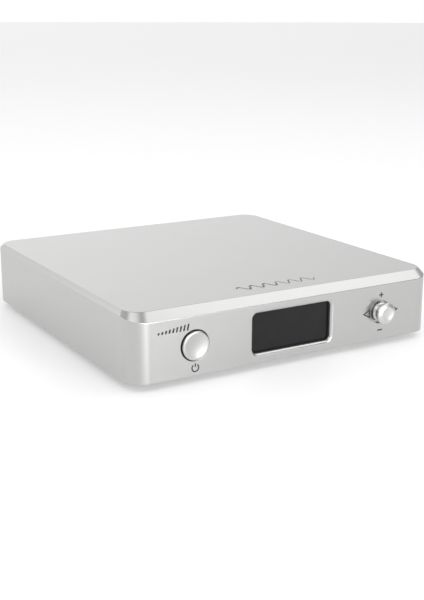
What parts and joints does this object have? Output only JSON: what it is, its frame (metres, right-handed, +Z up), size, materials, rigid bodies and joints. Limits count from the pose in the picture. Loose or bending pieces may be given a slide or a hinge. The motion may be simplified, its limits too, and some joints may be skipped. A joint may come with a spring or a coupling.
{
  "type": "desktop digital-to-analogue converter",
  "caption": "Low square milled-aluminium desktop converter with a dished power button, dark display window and small joystick at the front, and audio sockets at the rear.",
  "frame": {"origin": "on the surface that the feet stand on, under the middle of the whole object's box", "axes": "front faces -Y, +X is right as seen from the front, +Z is up"},
  "size_m": [0.14, 0.1512, 0.0295],
  "materials": {
    "case_aluminium": "fine bead-blasted, clear anodised, satin",
    "plate_aluminium": "bead-blasted, clear anodised, satin",
    "panel_aluminium": "bead-blasted, clear anodised, satin",
    "control_aluminium": "turned, lightly polished edges, clear anodised",
    "display_glass": "smoked black, polished",
    "display_black": "dark panel, switched off",
    "black_plastic": "fine moulded texture",
    "white_plastic": "moulded, satin",
    "red_plastic": "moulded, satin",
    "grey_plastic": "moulded, satin",
    "capacitor_sleeve": "shrunk sleeve",
    "foot_rubber": "matt",
    "circuit_board": "solder mask over glass laminate",
    "nickel": "bright nickel plate",
    "gold": "gold-plated brass",
    "black_steel": "black oxide"
  },
  "bodies": {
    "chassis": {"antenna_socket": "gold", "board_screw_front_left": "nickel", "board_screw_front_right": "nickel", "board_screw_rear_left": "nickel", "board_screw_rear_right": "nickel", "bottom_plate": "plate_aluminium", "bottom_screw_front_left": "black_steel", "bottom_screw_front_right": "black_steel", "bottom_screw_rear_left": "black_steel", "bottom_screw_rear_right": "black_steel", "clock_module": "nickel", "coax_in": "gold", "coax_in_insert": "black_plastic", "dac_chip": "black_plastic", "display_glass": "display_glass", "display_holder": "black_plastic", "display_module": "display_black", "foot_front_left": "foot_rubber", "foot_front_right": "foot_rubber", "foot_rear_left": "foot_rubber", "foot_rear_right": "foot_rubber", "front_board": "circuit_board", "front_board_screw_left": "nickel", "front_board_screw_right": "nickel", "joystick_housing": "black_plastic", "line_jack_left": "black_plastic", "line_jack_nut_left": "nickel", "line_jack_nut_right": "nickel", "line_jack_right": "black_plastic", "main_board": "circuit_board", "optical_socket": "black_plastic", "output_relay_left": "white_plastic", "output_relay_right": "white_plastic", "panel_screw_left": "black_steel", "panel_screw_right": "black_steel", "power_jack": "black_plastic", "power_jack_pin": "nickel", "power_switch": "black_plastic", "rca_out_left": "gold", "rca_out_left_insert": "white_plastic", "rca_out_right": "gold", "rca_out_right_insert": "red_plastic", "rear_panel": "panel_aluminium", "receiver_chip": "black_plastic", "reservoir_capacitor_1": "capacitor_sleeve", "reservoir_capacitor_2": "capacitor_sleeve", "reservoir_capacitor_3": "capacitor_sleeve", "reservoir_capacitor_4": "capacitor_sleeve", "ribbon_cable": "white_plastic", "top_shell": "case_aluminium", "usb_socket": "nickel", "usb_socket_insert": "black_plastic", "wireless_module": "nickel"},
    "power_key": {"power_button": "control_aluminium", "power_switch_plunger": "white_plastic"},
    "stick_gimbal": {"joystick_gimbal": "black_plastic"},
    "stick_yoke": {"joystick_yoke": "white_plastic"},
    "stick": {"joystick_knob": "control_aluminium", "joystick_shaft": "nickel"},
    "shutter": {"optical_shutter": "grey_plastic"}
  },
  "joints": [
    {"name": "power_press", "type": "slide", "parent": "chassis", "child": "power_key", "axis": [0, 1, 0], "range_m": [0, 0.0006], "stiffness_N_per_m": 2500},
    {"name": "stick_tilt_up_down", "type": "hinge", "parent": "chassis", "child": "stick_gimbal", "pos_m": [0.0434, -0.0654, 0.0146], "axis": [1, 0, 0], "range_deg": [-5, 5], "stiffness_Nm_per_rad": 0.1},
    {"name": "stick_tilt_left_right", "type": "hinge", "parent": "stick_gimbal", "child": "stick_yoke", "pos_m": [0.0434, -0.0654, 0.0146], "axis": [0, 0, 1], "range_deg": [-5, 5], "stiffness_Nm_per_rad": 0.1},
    {"name": "stick_press", "type": "slide", "parent": "stick_yoke", "child": "stick", "axis": [0, 1, 0], "range_m": [0, 0.0004], "stiffness_N_per_m": 5000},
    {"name": "shutter_swing", "type": "hinge", "parent": "chassis", "child": "shutter", "pos_m": [-0.015, 0.067, 0.0184], "axis": [-1, 0, 0], "range_deg": [0, 80], "stiffness_Nm_per_rad": 0.0002, "springref_deg": -28.65}
  ]
}
